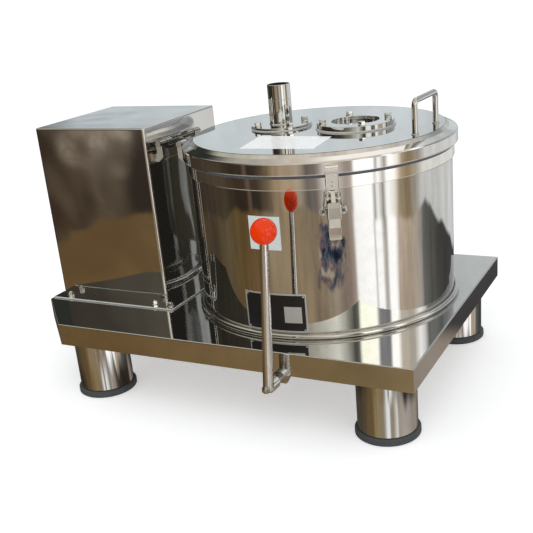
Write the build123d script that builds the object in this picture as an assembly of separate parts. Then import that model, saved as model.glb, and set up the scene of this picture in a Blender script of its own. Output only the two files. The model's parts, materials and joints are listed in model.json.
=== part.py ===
from build123d import *
from math import acos, atan2, cos, degrees, radians, sin, sqrt, hypot
import os

os.makedirs("parts", exist_ok=True)

# Driving dimensions, in millimetres. The origin is the middle of the deck on the floor,
# +X runs along the long side towards the drum, +Y to the back, +Z up.
DECK_L = 968.0
DECK_W = 665.0
DECK_CUT = 133.0
DECK_TOP = 184.4
DECK_T = 4.0
SKIRT_BOTTOM = 135.1
SHEET = 3.0
SKIRT_LIP = 15.0

LEG_R = 61.4
LEG_BOTTOM = 14.5
PAD_R = 67.3
LEG_X_RIGHT = 399.4
LEG_X_LEFT = -302.9
LEG_Y = 253.3

COVER_X0 = -480.1
COVER_X1 = -174.5
COVER_Y0 = -150.8
COVER_Y1 = 153.2
COVER_TOP = 590.9
COVER_T = 2.5
COVER_FLANGE = 40.0

DRUM_X = 161.3
DRUM_Y = 25.9
CASING_R = 288.0
CASING_T = 3.0
BAND_R = 291.9
BAND_BOTTOM = 492.9
CASING_TOP = 516.0
FOOT_RING_R = 5.7

LID_R = 300.0
LID_BOTTOM = 523.0
LID_EDGE_TOP = 548.5
LID_RIDGE_R = 281.6
LID_RIDGE_Z = 553.4
LID_DISC_R = 274.0
LID_TOP = 560.4
LID_T = 4.0

FEED_X = 66.0
FEED_Y = 40.0
FEED_FLANGE_R = 68.0
FEED_PIPE_R = 25.5
FEED_BORE_R = 23.5
FEED_TOP = 654.0
SIGHT_X = 241.0
SIGHT_Y = 47.5
SIGHT_R = 86.0
SIGHT_PANE_R = 58.0
SIGHT_OPEN_R = 52.0

HANDLE_ANGLE = -2.4
HANDLE_RADIUS = 247.0
HANDLE_SPAN = 123.0
HANDLE_RISE = 66.0
HANDLE_ROD_R = 6.0

HINGE_X = -146.0
HINGE_Z = 538.0
HINGE_PIN_R = 5.0
HINGE_R = 7.6
HINGE_HALF = 86.0
HINGE_KNUCKLE = 24.0

LATCH_ANGLE = 61.8
LATCH_W = 24.5
LATCH_PIN1 = (298.0, 490.0)
LATCH_PIN2 = (303.0, 477.0)
STRAP_TOP = 541.4
LEVER_LOW = 398.0
LEVER_HIGH = 471.0
EYE_Y = 19.5
EYE_Z = 450.0

BASKET_R = 225.0
BASKET_T = 4.0
BASKET_LOW = 228.0
BASKET_HIGH = 478.0
BASKET_MOUTH_R = 172.0
SPINDLE_R = 20.0

BRAKE_X = 197.0
BRAKE_Z = 124.4
BRAKE_Y = -368.5
KNOB_X = 218.0
KNOB_Z = 445.7
KNOB_R = 25.0
BRAKE_SHAFT_R = 8.0

MOTOR_X = -327.0
MOTOR_Y = 1.2
BELT_LOW = 80.0
BELT_HIGH = 94.0
DRIVE_R = 72.5
DRIVEN_R = 48.5

DRAIN_R = 30.15
DRAIN_BORE_R = 26.5
DRAIN_Z = 238.0
DRAIN_END = 393.5


def save(shape, name):
    """Write one node to its own file."""
    solids = shape.solids()
    assert len(solids) == 1, name
    export_step(solids[0], "parts/" + name + ".step")


def turned(points, x=0.0, y=0.0):
    """Turn a closed outline of (radius, height) points about a vertical axis."""
    outline = make_face(Polyline(*[(r, 0, z) for r, z in points], close=True))
    return Location((x, y, 0)) * revolve(outline, Axis.Z, 360)


def plate_xz(points, y0, y1):
    """Raise an outline of (x, z) points between two values of y."""
    outline = make_face(Polyline(*[(x, y0, z) for x, z in points], close=True))
    return extrude(outline, y1 - y0, dir=(0, 1, 0))


def block(x0, x1, y0, y1, z0, z1):
    """A plain block between two corners."""
    middle = Location(((x0 + x1) / 2, (y0 + y1) / 2, (z0 + z1) / 2))
    return middle * Box(x1 - x0, y1 - y0, z1 - z0)


def upright(r, z0, z1, x=0.0, y=0.0):
    """An upright round bar."""
    return Location((x, y, (z0 + z1) / 2)) * Cylinder(r, z1 - z0)


def cross_bar(r, y0, y1, x, z):
    """A round bar that lies along Y."""
    return Location((x, (y0 + y1) / 2, z)) * Rotation(90, 0, 0) * Cylinder(r, y1 - y0)


def about_drum(shape, angle):
    """Carry a shape from the drum's own frame (x outward, y along the wall) to its place."""
    return Location((DRUM_X, DRUM_Y, 0)) * Rotation(0, 0, angle) * shape


def deck_outline():
    """The deck seen from above: a rectangle with two corners cut at the motor end."""
    x = DECK_L / 2
    y = DECK_W / 2
    return [
        (x, -y), (x, y), (-x + DECK_CUT, y), (-x, y - DECK_CUT), (-x, -y + DECK_CUT), (-x + DECK_CUT, -y),
    ]


def deck_plate():
    face = make_face(Polyline(*[(x, y, DECK_TOP - DECK_T) for x, y in deck_outline()], close=True))
    plate = extrude(face, DECK_T, dir=(0, 0, 1))
    top = plate.faces().sort_by(Axis.Z)[-1]
    plate = fillet(top.edges(), 2.5)
    plate -= upright(58.0, 150, 220, DRUM_X, DRUM_Y)
    plate -= upright(30.0, 150, 220, MOTOR_X, MOTOR_Y)
    return plate


def skirt_straight(x0, x1, y0, y1, lip):
    """One straight side sheet with its lower edge folded inward."""
    wall = block(x0, x1, y0, y1, SKIRT_BOTTOM, DECK_TOP - DECK_T)
    return wall + block(*lip, SKIRT_BOTTOM, SKIRT_BOTTOM + SHEET)


def skirts():
    x = DECK_L / 2
    y = DECK_W / 2
    xa = -x + DECK_CUT
    front = skirt_straight(xa, x, -y, -y + SHEET, (xa, x, -y, -y + SKIRT_LIP))
    back = skirt_straight(xa, x, y - SHEET, y, (xa, x, y - SKIRT_LIP, y))
    side = (x - SKIRT_LIP, x, -y + SKIRT_LIP, y - SKIRT_LIP)
    right = skirt_straight(x - SHEET, x, -y + SHEET, y - SHEET, side)
    right -= block(x - SHEET, x, -y, -y + SKIRT_LIP, SKIRT_BOTTOM, SKIRT_BOTTOM + SHEET)
    right -= block(x - SHEET, x, y - SKIRT_LIP, y, SKIRT_BOTTOM, SKIRT_BOTTOM + SHEET)
    return {"skirt_front": front, "skirt_back": back, "skirt_right": right, "skirt_left": skirt_left()}


def inset_left(depth):
    """The three left sides of the deck, moved inward by a depth and ended at the cut's corners."""
    x = -DECK_L / 2
    y = DECK_W / 2
    shift = depth * (sqrt(2) - 1)
    xa = x + DECK_CUT
    outer = [(xa, -y), (x, -y + DECK_CUT), (x, y - DECK_CUT), (xa, y)]
    inner = [(xa, -y + depth * sqrt(2)), (x + depth, -y + DECK_CUT + shift),
             (x + depth, y - DECK_CUT - shift), (xa, y - depth * sqrt(2))]
    return outer + inner[::-1]


def skirt_left():
    wall = make_face(Polyline(*[(a, b, SKIRT_BOTTOM) for a, b in inset_left(SHEET)], close=True))
    wall = extrude(wall, DECK_TOP - DECK_T - SKIRT_BOTTOM, dir=(0, 0, 1))
    lip = make_face(Polyline(*[(a, b, SKIRT_BOTTOM) for a, b in inset_left(SKIRT_LIP)], close=True))
    lip = extrude(lip, SHEET, dir=(0, 0, 1))
    return wall + lip


def leg():
    body = upright(LEG_R, LEG_BOTTOM, DECK_TOP - DECK_T)
    return chamfer(body.edges().sort_by(Axis.Z)[0], 2.0)


def pad():
    return turned([(0, 0), (PAD_R - 2, 0), (PAD_R, 2), (PAD_R, LEG_BOTTOM - 3), (PAD_R - 3, LEG_BOTTOM),
                   (0, LEG_BOTTOM)])


def motor_cover():
    outside = block(COVER_X0, COVER_X1, COVER_Y0, COVER_Y1, DECK_TOP, COVER_TOP)
    outside = fillet(outside.edges().filter_by(Axis.Z), 6.0)
    outside = fillet(outside.faces().sort_by(Axis.Z)[-1].edges(), 4.0)
    inside = block(COVER_X0 + COVER_T, COVER_X1 - COVER_T, COVER_Y0 + COVER_T, COVER_Y1 - COVER_T,
                   DECK_TOP - 1, COVER_TOP - COVER_T)
    inside = fillet(inside.edges().filter_by(Axis.Z), 3.5)
    return outside - inside


def motor_cover_flange():
    sheet = block(COVER_X0, COVER_X1 + COVER_FLANGE, COVER_Y0 - COVER_FLANGE, COVER_Y1 + COVER_FLANGE,
                  DECK_TOP, DECK_TOP + 2.5)
    sheet -= block(COVER_X0 - 1, COVER_X1, COVER_Y0, COVER_Y1, DECK_TOP - 1, DECK_TOP + 5)
    return sheet - upright(301.0, DECK_TOP - 1, DECK_TOP + 5, DRUM_X, DRUM_Y)


def cable_gland():
    x = -400.0
    z = 236.0
    body = cross_bar(15.0, COVER_Y1, COVER_Y1 + 4, x, z)
    hexagon = extrude(RegularPolygon(14.0, 6), 9)
    body += Location((x, COVER_Y1 + 13, z)) * Rotation(90, 0, 0) * hexagon
    body += cross_bar(10.5, COVER_Y1 + 13, COVER_Y1 + 24, x, z)
    return body - cross_bar(6.0, COVER_Y1 + 6, COVER_Y1 + 30, x, z)


def casing_outside():
    return turned([(0, DECK_TOP), (CASING_R, DECK_TOP), (CASING_R, BAND_BOTTOM), (BAND_R - 1, BAND_BOTTOM),
                   (BAND_R, BAND_BOTTOM + 1.5), (BAND_R, CASING_TOP), (0, CASING_TOP)], DRUM_X, DRUM_Y)


def casing_wall():
    low = DECK_TOP
    wall = turned([(CASING_R - CASING_T, low), (CASING_R, low), (CASING_R, CASING_TOP),
                   (CASING_R - CASING_T, CASING_TOP)], DRUM_X, DRUM_Y)
    return wall - cross_bar(DRAIN_BORE_R, 200, 400, DRUM_X, DRAIN_Z)


def casing_band():
    """The doubled edge that stiffens the casing's mouth."""
    return turned([(CASING_R, BAND_BOTTOM), (BAND_R - 1, BAND_BOTTOM), (BAND_R, BAND_BOTTOM + 1.5),
                   (BAND_R, CASING_TOP), (CASING_R, CASING_TOP)], DRUM_X, DRUM_Y)


def casing_floor():
    floor = upright(CASING_R - CASING_T, DECK_TOP, DECK_TOP + 4, DRUM_X, DRUM_Y)
    return floor - upright(58.0, 150, 220, DRUM_X, DRUM_Y)


def foot_ring():
    tube = Location((CASING_R + FOOT_RING_R, 0, DECK_TOP + FOOT_RING_R)) * Rotation(90, 0, 0)
    ring = revolve(tube * Circle(FOOT_RING_R), Axis.Z, 360)
    return Location((DRUM_X, DRUM_Y, 0)) * ring


def lid_gasket():
    return turned([(CASING_R - 2, CASING_TOP), (BAND_R, CASING_TOP), (BAND_R + 1, CASING_TOP + 1.2),
                   (BAND_R, LID_BOTTOM - 0.3), (CASING_R - 2, LID_BOTTOM - 0.3)], DRUM_X, DRUM_Y)


def drain_outlet():
    tube = cross_bar(DRAIN_R, 240, DRAIN_END, DRUM_X, DRAIN_Z)
    tube += cross_bar(DRAIN_R + 8, 240, DRUM_Y + CASING_R + 4, DRUM_X, DRAIN_Z)
    tube -= cross_bar(DRAIN_BORE_R, 200, 400, DRUM_X, DRAIN_Z)
    return tube - upright(CASING_R, 100, 400, DRUM_X, DRUM_Y)


def lid_outside():
    return turned([(0, LID_BOTTOM), (LID_R - 1, LID_BOTTOM), (LID_R, LID_BOTTOM + 1), (LID_R, LID_EDGE_TOP - 3),
                   (LID_R - 1, LID_EDGE_TOP - 1), (LID_R - 3, LID_EDGE_TOP), (LID_RIDGE_R, LID_RIDGE_Z),
                   (LID_DISC_R, LID_TOP), (0, LID_TOP)], DRUM_X, DRUM_Y)


def lid_rim():
    """The deep outer band of the lid and the shoulder that rises from it to the raised disc."""
    inner = LID_DISC_R - 4
    return turned([(CASING_R - 3, LID_BOTTOM), (LID_R - 1, LID_BOTTOM), (LID_R, LID_BOTTOM + 1),
                   (LID_R, LID_EDGE_TOP - 3), (LID_R - 1, LID_EDGE_TOP - 1), (LID_R - 3, LID_EDGE_TOP),
                   (LID_RIDGE_R, LID_RIDGE_Z), (LID_DISC_R, LID_TOP), (inner, LID_TOP),
                   (inner, LID_TOP - LID_T), (LID_DISC_R - 1.5, LID_TOP - LID_T),
                   (LID_RIDGE_R - 1.5, LID_RIDGE_Z - LID_T), (LID_R - LID_T, LID_EDGE_TOP - 4),
                   (LID_R - LID_T, LID_BOTTOM + 3), (CASING_R - 3, LID_BOTTOM + 3)], DRUM_X, DRUM_Y)


def lid_disc():
    """The flat raised plate inside the shoulder, with the holes for the feed and the sight glass."""
    disc = upright(LID_DISC_R - 4, LID_TOP - LID_T, LID_TOP, DRUM_X, DRUM_Y)
    disc -= upright(FEED_BORE_R + 12, LID_TOP - 20, LID_TOP + 5, FEED_X, FEED_Y)
    return disc - upright(SIGHT_OPEN_R - 2, LID_TOP - 20, LID_TOP + 5, SIGHT_X, SIGHT_Y)


def feed_inlet():
    low = LID_TOP
    return turned([(FEED_BORE_R, low), (FEED_FLANGE_R, low), (FEED_FLANGE_R, low + 6), (FEED_FLANGE_R - 1, low + 7),
                   (FEED_PIPE_R + 2, low + 7), (FEED_PIPE_R, low + 9), (FEED_PIPE_R, 620), (FEED_PIPE_R - 0.6, 620.6),
                   (FEED_PIPE_R - 0.6, 621.8), (FEED_PIPE_R, 622.4), (FEED_PIPE_R, FEED_TOP - 0.8),
                   (FEED_PIPE_R - 0.8, FEED_TOP), (FEED_BORE_R, FEED_TOP)], FEED_X, FEED_Y)


def sight_ring():
    """A thick clamping ring on a thinner seat that is a little wider."""
    low = LID_TOP
    upper = SIGHT_R - 1.5
    return turned([(SIGHT_PANE_R + 0.2, low), (SIGHT_R, low), (SIGHT_R, low + 3.2), (upper, low + 3.2),
                   (upper, low + 11.5), (upper - 1, low + 12.5), (SIGHT_OPEN_R + 1, low + 12.5),
                   (SIGHT_OPEN_R, low + 11.5), (SIGHT_OPEN_R, low + 5), (SIGHT_PANE_R + 0.2, low + 5)],
                  SIGHT_X, SIGHT_Y)


def sight_pane():
    return upright(SIGHT_PANE_R, LID_TOP, LID_TOP + 4.8, SIGHT_X, SIGHT_Y)


def lid_handle():
    half = HANDLE_SPAN / 2
    top = LID_TOP + HANDLE_RISE
    bend = 11.0
    path = FilletPolyline((HANDLE_RADIUS, -half, LID_TOP), (HANDLE_RADIUS, -half, top),
                          (HANDLE_RADIUS, half, top), (HANDLE_RADIUS, half, LID_TOP), radius=bend)
    section = Location((HANDLE_RADIUS, -half, LID_TOP)) * Circle(HANDLE_ROD_R)
    return about_drum(sweep(section, path=path), HANDLE_ANGLE)


def hinge_lug(side):
    """A lug welded to the casing's band, that ends in a knuckle behind the lid; side is -1 at the front."""
    x = HINGE_X
    y0, y1 = sorted((DRUM_Y + side * HINGE_HALF, DRUM_Y + side * (HINGE_HALF - HINGE_KNUCKLE)))
    neck = [(-110, 497), (x + 6, 497), (x - HINGE_R, 508), (x - HINGE_R, HINGE_Z), (x + HINGE_R, HINGE_Z),
            (x + HINGE_R, 518), (x + 11, 514.5), (-110, 514.5)]
    lug = plate_xz(neck, y0, y1) + cross_bar(HINGE_R, y0, y1, x, HINGE_Z)
    return lug - casing_outside() - cross_bar(HINGE_PIN_R, y0 - 5, y1 + 5, x, HINGE_Z)


def hinge_pin(side):
    """A headed pin through one lug and the lid's knuckle beside it."""
    ends = [DRUM_Y + side * (HINGE_HALF + 2), DRUM_Y + side * (HINGE_HALF - 2 * HINGE_KNUCKLE - 5)]
    pin = cross_bar(HINGE_PIN_R, min(ends), max(ends), HINGE_X, HINGE_Z)
    head = sorted((ends[0], ends[0] + side * 2.5))
    return pin + cross_bar(HINGE_PIN_R + 1.6, head[0], head[1], HINGE_X, HINGE_Z)


def lid_hinge_leaf():
    """Two knuckles and the strip that joins them to the lid's band."""
    half = HINGE_HALF - HINGE_KNUCKLE - 3
    leaf = block(HINGE_X + 4, -118, DRUM_Y - half, DRUM_Y + half, 531, 545)
    for y0 in (DRUM_Y - half, DRUM_Y + half - HINGE_KNUCKLE):
        leaf += block(HINGE_X, -118, y0, y0 + HINGE_KNUCKLE, 531, 545)
        leaf += cross_bar(HINGE_R, y0, y0 + HINGE_KNUCKLE, HINGE_X, HINGE_Z)
    return leaf - lid_outside() - cross_bar(HINGE_PIN_R + 0.08, -100, 150, HINGE_X, HINGE_Z)


def latch_eye(y):
    """A round eye beside the latch's plate, with its hole through the wall's direction."""
    turn = Location((288, y, EYE_Z)) * Rotation(0, 90, 0)
    eye = turn * Cylinder(8.0, 7.0) + block(284.5, 291.5, min(0, y), max(0, y), EYE_Z - 5, EYE_Z + 5)
    return eye - turn * Cylinder(3.2, 20.0)


def latch_base():
    plate = block(284, 292, -LATCH_W / 2, LATCH_W / 2, 430, 492)
    plate += latch_eye(-EYE_Y) + latch_eye(EYE_Y)
    r1, z1 = LATCH_PIN1
    for y0 in (-8.0, 4.5):
        plate += plate_xz([(290, z1 - 12), (r1 + 2, z1 - 5.7), (r1, z1 + 6), (290, z1 + 6.5)], y0, y0 + 3.5)
        plate += cross_bar(6.0, y0, y0 + 3.5, r1, z1)
    plate += cross_bar(2.5, -8, 8, r1, z1)
    plate -= upright(BAND_R + 0.2, BAND_BOTTOM - 0.5, 600)
    return plate - upright(CASING_R, 300, 600)


def latch_lever():
    """A bowed handle plate with a turned-out lower end, on a web that carries both pivots."""
    r1, z1 = LATCH_PIN1
    r2, z2 = LATCH_PIN2
    outer = [(313.2, 471), (314.6, 461), (314.9, 440), (313.4, 422), (311.0, 407), (311.4, 402), (313.8, 398)]
    inner = [(r - 2.5, z) for r, z in outer]
    outline = block(300, 330, -LATCH_W / 2, LATCH_W / 2, LEVER_LOW, LEVER_HIGH)
    outline = fillet(outline.edges().filter_by(Axis.X), 3.5)
    lever = plate_xz(outer + inner[::-1], -LATCH_W / 2, LATCH_W / 2) & outline
    lever += plate_xz([(313, 447), (312.8, 462), (311.4, 470), (r1 + 4, z1 + 3), (r1 - 4, z1 + 3), (r1 - 4, z1 - 3),
                       (r2 - 4, z2 - 2), (r2, z2 - 4.5)], -4, 4)
    lever += cross_bar(5.0, -4, 4, r1, z1)
    lever += cross_bar(4.5, -4, 4, r2, z2)
    lever += cross_bar(2.0, -LATCH_W / 2, LATCH_W / 2, r2, z2)
    return lever - cross_bar(2.55, -20, 20, r1, z1)


def latch_strap():
    """A draw strap with a step and a roll at its upper end, and two arms down to the lever."""
    r2, z2 = LATCH_PIN2
    half = LATCH_W / 2
    side = [(305.5, 495), (308, 495), (308, 526), (310.7, 529.7), (310.7, 535), (308.5, 539), (305.5, 539),
            (305.5, 536.8), (308.2, 533.6), (308.2, 530.6), (305.5, 527)]
    strap = plate_xz(side, -half, half) + cross_bar(3.0, -half, half, 308.5, STRAP_TOP - 3)
    for y0 in (-half, half - 3.25):
        strap += plate_xz([(r2 - 4, z2), (r2 + 4.2, z2 - 1), (308.0, 496), (305.5, 496)], y0, y0 + 3.25)
        strap += cross_bar(4.5, y0, y0 + 3.25, r2, z2)
    return strap - cross_bar(2.05, -20, 20, r2, z2)


def basket_wall():
    r = BASKET_R - BASKET_T
    return turned([(r, BASKET_LOW + 5), (BASKET_R, BASKET_LOW + 5), (BASKET_R, BASKET_HIGH), (r, BASKET_HIGH)],
                  DRUM_X, DRUM_Y)


def basket_floor():
    return turned([(30, BASKET_LOW), (BASKET_R, BASKET_LOW), (BASKET_R, BASKET_LOW + 5), (30, BASKET_LOW + 5)],
                  DRUM_X, DRUM_Y)


def basket_lip():
    """The flat ring that keeps the load in at the basket's mouth, with a rounded inner edge."""
    m = BASKET_MOUTH_R
    low = BASKET_HIGH
    return turned([(m, low + 1.5), (m + 1.5, low), (BASKET_R, low), (BASKET_R, low + 3), (BASKET_R - 1, low + 4),
                   (m + 1.5, low + 4), (m, low + 2.5)], DRUM_X, DRUM_Y)


def spindle():
    return turned([(0, 64), (SPINDLE_R, 64), (SPINDLE_R, 218), (50, 218), (50, BASKET_LOW), (30, BASKET_LOW),
                   (30, BASKET_LOW + 5), (76, BASKET_LOW + 5), (70, BASKET_LOW + 14), (44, 276), (24, 280), (24, 298),
                   (16, 304), (0, 304)], DRUM_X, DRUM_Y)


def spindle_pulley():
    core = DRIVE_R - 0.5
    return turned([(SPINDLE_R, 72), (core + 12, 72), (core + 12, BELT_LOW - 2), (core, BELT_LOW - 2),
                   (core, BELT_HIGH + 2), (95, BELT_HIGH + 2), (95, 114), (40, 114), (40, 120), (SPINDLE_R, 120)],
                  DRUM_X, DRUM_Y)


def bearing_housing():
    r = SPINDLE_R + 0.08
    return turned([(r, 128), (46, 128), (50, 132), (50, 168), (90, 172), (90, DECK_TOP - DECK_T), (58, DECK_TOP - DECK_T),
                   (58, 198), (52, 206), (r, 206)], DRUM_X, DRUM_Y)


def motor_body():
    return turned([(0, DECK_TOP), (105, DECK_TOP), (105, 196), (88, 202), (88, 400), (80, 412), (80, 440), (0, 440)],
                  MOTOR_X, MOTOR_Y)


def motor_pulley():
    core = DRIVEN_R - 0.5
    return turned([(0, 70), (core + 10, 70), (core + 10, BELT_LOW - 2), (core, BELT_LOW - 2), (core, BELT_HIGH + 2),
                   (core + 10, BELT_HIGH + 2), (core + 10, 104), (28, 104), (28, 112), (14, 112), (14, 183), (0, 183)],
                  MOTOR_X, MOTOR_Y)


def belt_face(extra):
    """Two rounds and the straight runs that touch both."""
    gap = hypot(DRUM_X - MOTOR_X, DRUM_Y - MOTOR_Y)
    heading = atan2(MOTOR_Y - DRUM_Y, MOTOR_X - DRUM_X)
    spread = acos((DRIVE_R - DRIVEN_R) / gap)
    corners = []
    for x, y, r, signs in ((DRUM_X, DRUM_Y, DRIVE_R + extra, (1, -1)), (MOTOR_X, MOTOR_Y, DRIVEN_R + extra, (-1, 1))):
        for s in signs:
            corners.append((x + r * cos(heading + s * spread), y + r * sin(heading + s * spread)))
    face = make_face(Polyline(*corners, close=True))
    face += Location((DRUM_X, DRUM_Y, 0)) * Circle(DRIVE_R + extra)
    return face + Location((MOTOR_X, MOTOR_Y, 0)) * Circle(DRIVEN_R + extra)


def drive_belt():
    loop = belt_face(8.0) - belt_face(0.0)
    return Location((0, 0, BELT_LOW)) * extrude(loop, BELT_HIGH - BELT_LOW)


def brake_bracket(y0):
    x = BRAKE_X
    plate = plate_xz([(x - 24, 180.4), (x - 24, 132), (x - 10, 106), (x + 10, 106), (x + 24, 132), (x + 24, 180.4)],
                     y0, y0 + 8)
    return plate - cross_bar(BRAKE_SHAFT_R + 0.08, y0 - 5, y0 + 15, x, BRAKE_Z)


def brake_lever():
    run = hypot(KNOB_X - BRAKE_X, KNOB_Z - BRAKE_Z)
    lean = degrees(atan2(KNOB_X - BRAKE_X, KNOB_Z - BRAKE_Z))
    neck = run - KNOB_R + 1.5
    bar = revolve(make_face(Polyline((0, 0, 0), (11.5, 0, 0), (8.3, 0, neck), (0, 0, neck), close=True)), Axis.Z, 360)
    bar += Sphere(11.5)
    bar -= Location((0, 0, run)) * Sphere(KNOB_R)
    bar = Location((BRAKE_X, BRAKE_Y, BRAKE_Z)) * Rotation(0, lean, 0) * bar
    bar += cross_bar(13.0, BRAKE_Y, BRAKE_Y + 26, BRAKE_X, BRAKE_Z)
    return bar - cross_bar(BRAKE_SHAFT_R, BRAKE_Y - 2, BRAKE_Y + 60, BRAKE_X, BRAKE_Z)


def brake_knob():
    return Location((KNOB_X, BRAKE_Y, KNOB_Z)) * Sphere(KNOB_R)


def brake_shaft():
    shaft = cross_bar(BRAKE_SHAFT_R, BRAKE_Y - 2, -92, BRAKE_X, BRAKE_Z)
    cam = plate_xz([(BRAKE_X - 14, 112), (BRAKE_X + 14, 112), (BRAKE_X + 10, 150), (BRAKE_X - 10, 150)], -108, -92)
    return shaft + cam


def write_nodes():
    nodes = {"deck_plate": deck_plate()}
    nodes.update(skirts())
    for name, x, y in (("front_right", LEG_X_RIGHT, -LEG_Y), ("back_right", LEG_X_RIGHT, LEG_Y),
                       ("front_left", LEG_X_LEFT, -LEG_Y), ("back_left", LEG_X_LEFT, LEG_Y)):
        nodes["leg_" + name] = Location((x, y, 0)) * leg()
        nodes["foot_pad_" + name] = Location((x, y, 0)) * pad()
    nodes["motor_cover"] = motor_cover()
    nodes["motor_cover_flange"] = motor_cover_flange()
    nodes["cable_gland"] = cable_gland()
    nodes["casing_wall"] = casing_wall()
    nodes["casing_band"] = casing_band()
    nodes["casing_floor"] = casing_floor()
    nodes["casing_foot_ring"] = foot_ring()
    nodes["lid_gasket"] = lid_gasket()
    nodes["drain_outlet"] = drain_outlet()
    nodes["lid_rim"] = lid_rim()
    nodes["lid_disc"] = lid_disc()
    nodes["feed_inlet"] = feed_inlet()
    nodes["sight_ring"] = sight_ring()
    nodes["sight_pane"] = sight_pane()
    nodes["lid_handle"] = lid_handle()
    nodes["hinge_lug_front"] = hinge_lug(-1)
    nodes["hinge_lug_back"] = hinge_lug(1)
    nodes["hinge_pin_front"] = hinge_pin(-1)
    nodes["hinge_pin_back"] = hinge_pin(1)
    nodes["lid_hinge_leaf"] = lid_hinge_leaf()
    for name, angle in (("front", -LATCH_ANGLE), ("back", LATCH_ANGLE)):
        nodes["latch_base_" + name] = about_drum(latch_base(), angle)
        nodes["latch_lever_" + name] = about_drum(latch_lever(), angle)
        nodes["latch_strap_" + name] = about_drum(latch_strap(), angle)
    nodes["basket_wall"] = basket_wall()
    nodes["basket_floor"] = basket_floor()
    nodes["basket_lip"] = basket_lip()
    nodes["spindle"] = spindle()
    nodes["spindle_pulley"] = spindle_pulley()
    nodes["bearing_housing"] = bearing_housing()
    nodes["motor_body"] = motor_body()
    nodes["motor_pulley"] = motor_pulley()
    nodes["drive_belt"] = drive_belt()
    nodes["brake_bracket_front"] = brake_bracket(-312.0)
    nodes["brake_bracket_rear"] = brake_bracket(-140.0)
    nodes["brake_lever"] = brake_lever()
    nodes["brake_knob"] = brake_knob()
    nodes["brake_shaft"] = brake_shaft()
    for name, shape in nodes.items():
        save(shape, name)


write_nodes()
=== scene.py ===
"""Looks of a floor-standing basket centrifuge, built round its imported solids.

Every length in the classes below is in millimetres in the part's own frame: +X along the deck
towards the drum, +Y to the back, +Z up, with the floor at zero. Meshes are made in metres.
"""
from __future__ import annotations

import json
import logging
import math
from dataclasses import dataclass, field
from enum import Enum
from typing import Any, Sequence

import bmesh
import bpy
from mathutils import Matrix, Vector

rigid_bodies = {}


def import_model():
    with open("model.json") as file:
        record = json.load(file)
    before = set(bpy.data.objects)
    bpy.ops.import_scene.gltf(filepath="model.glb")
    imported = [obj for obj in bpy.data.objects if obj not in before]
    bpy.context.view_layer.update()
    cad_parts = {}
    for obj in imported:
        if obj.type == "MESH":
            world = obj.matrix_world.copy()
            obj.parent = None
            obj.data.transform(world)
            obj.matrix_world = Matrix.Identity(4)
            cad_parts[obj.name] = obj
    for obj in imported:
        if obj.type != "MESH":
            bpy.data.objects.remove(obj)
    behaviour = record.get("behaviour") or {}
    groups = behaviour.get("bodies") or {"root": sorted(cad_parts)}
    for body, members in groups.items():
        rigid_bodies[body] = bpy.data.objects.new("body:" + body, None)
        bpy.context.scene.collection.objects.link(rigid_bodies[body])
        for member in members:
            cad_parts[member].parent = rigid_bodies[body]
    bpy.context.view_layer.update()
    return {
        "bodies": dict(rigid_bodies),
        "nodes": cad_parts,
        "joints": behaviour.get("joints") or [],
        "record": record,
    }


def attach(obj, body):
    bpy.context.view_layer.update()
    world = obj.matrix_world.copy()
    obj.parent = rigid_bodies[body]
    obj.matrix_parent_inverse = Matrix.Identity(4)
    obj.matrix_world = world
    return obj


LOG = logging.getLogger("centrifuge")
SHADER = "Principled BSDF"
MM = 0.001
DRUM = (161.3, 25.9)  # the drum's axis
LID_TOP = 560.4  # the lid's raised disc
STRAP_FACE = 308.0  # the front of a latch's strap, from the drum's axis
CRISP_EDGE = 35.0  # edges that turn by more degrees stay crisp
METAL = 0.9  # a finish above this is bare metal
SECOND_BOUNCE = 1.5  # deeper than the first mirror bounce
PAINTED_BOUNCE_GLOW = 0.011  # painted glow that bare metal gives off in bounces past the first mirror bounce
Pair = tuple[float, float]
Colour = tuple[float, float, float]
Point = tuple[float, float, float]
UP: Point = (0.0, 0.0, 1.0)
WHITE: Colour = (1.0, 1.0, 1.0)
# painted glow colour: the warm tone in which bare metal glows in deeper bounces
PAINTED_BOUNCE_COLOUR: Colour = (1.0, 0.96, 0.86)
# painted shade: the near-black seen through the basket's holes
HOLE_SHADE_COLOUR: Colour = (0.01, 0.01, 0.012)


class Body(Enum):
    """The bodies that trim rides on, beside the latches' own."""

    BASE = "base"
    LID = "lid"
    BRAKE = "brake"


class Slot(Enum):
    """The finishes that the part's record names."""

    POLISHED = "polished_steel"
    SATIN = "satin_steel"
    PAD = "pad_rubber"
    GASKET = "gasket_rubber"
    BELT = "belt_rubber"
    BALL = "red_ball"
    BLACK = "black_plastic"
    GLASS = "clear_glass"
    IRON = "cast_iron"
    MOTOR = "motor_paint"


def tone(red: int, green: int, blue: int) -> Colour:
    """Turn a screen colour of 0 to 255 into the linear colour that a shader reads.

    Args:
        red: Red part.
        green: Green part.
        blue: Blue part.

    Returns:
        The three linear parts.
    """
    parts = []
    for value in (red, green, blue):
        c = value / 255.0
        parts.append(c / 12.92 if c <= 0.04045 else ((c + 0.055) / 1.055) ** 2.4)
    return parts[0], parts[1], parts[2]


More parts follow.
